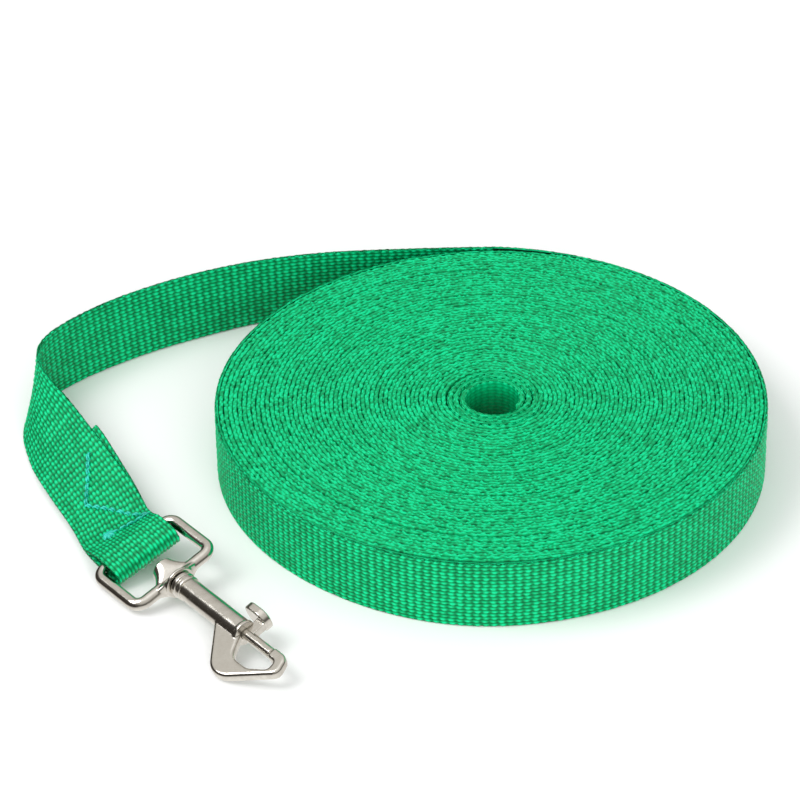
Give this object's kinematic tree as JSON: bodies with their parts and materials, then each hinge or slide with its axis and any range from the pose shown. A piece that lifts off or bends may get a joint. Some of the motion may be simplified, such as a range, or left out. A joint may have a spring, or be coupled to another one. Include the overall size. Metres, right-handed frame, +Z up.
{
  "type": "training leash",
  "caption": "Green flat-webbing training leash wound into a roll on its edge, its end sewn round the eye of a nickel swivel bolt snap.",
  "frame": {"origin": "on the floor at the axis of the roll", "axes": "+Z up along the roll's axis; the snap's swivel axis points along -Y; +X to the snap's right"},
  "size_m": [0.19, 0.1799, 0.02],
  "materials": {
    "webbing": "plain weave, slightly glossy",
    "thread": "bonded sewing thread",
    "nickel": "nickel plate, light wear",
    "spring_steel": "drawn wire"
  },
  "bodies": {
    "strap": {"strap_roll": "webbing", "handle_roll": "webbing", "strap_tail": "webbing", "strap_end_fold": "webbing", "end_stitching": "thread", "handle_stitching": "thread"},
    "eye": {"swivel_eye": "nickel"},
    "hook": {"snap_body": "nickel", "swivel_stud": "nickel", "bolt_spring": "spring_steel"},
    "bolt": {"bolt": "nickel", "thumb_knob": "nickel"}
  },
  "joints": [
    {"name": "eye_hinge", "type": "hinge", "parent": "strap", "child": "eye", "pos_m": [-0.1023, 0.0246, 0.0058], "axis": [-0.9613, 0, -0.2756], "range_deg": [0, 100]},
    {"name": "swivel", "type": "hinge", "parent": "eye", "child": "hook", "pos_m": [-0.1023, 0.004, 0.0058], "axis": [0, 1, 0], "continuous": true},
    {"name": "bolt_slide", "type": "slide", "parent": "hook", "child": "bolt", "axis": [0, 1, 0], "range_m": [0, 0.0085], "stiffness_N_per_m": 300, "springref_m": -0.01, "deforming": ["bolt_spring"]}
  ]
}
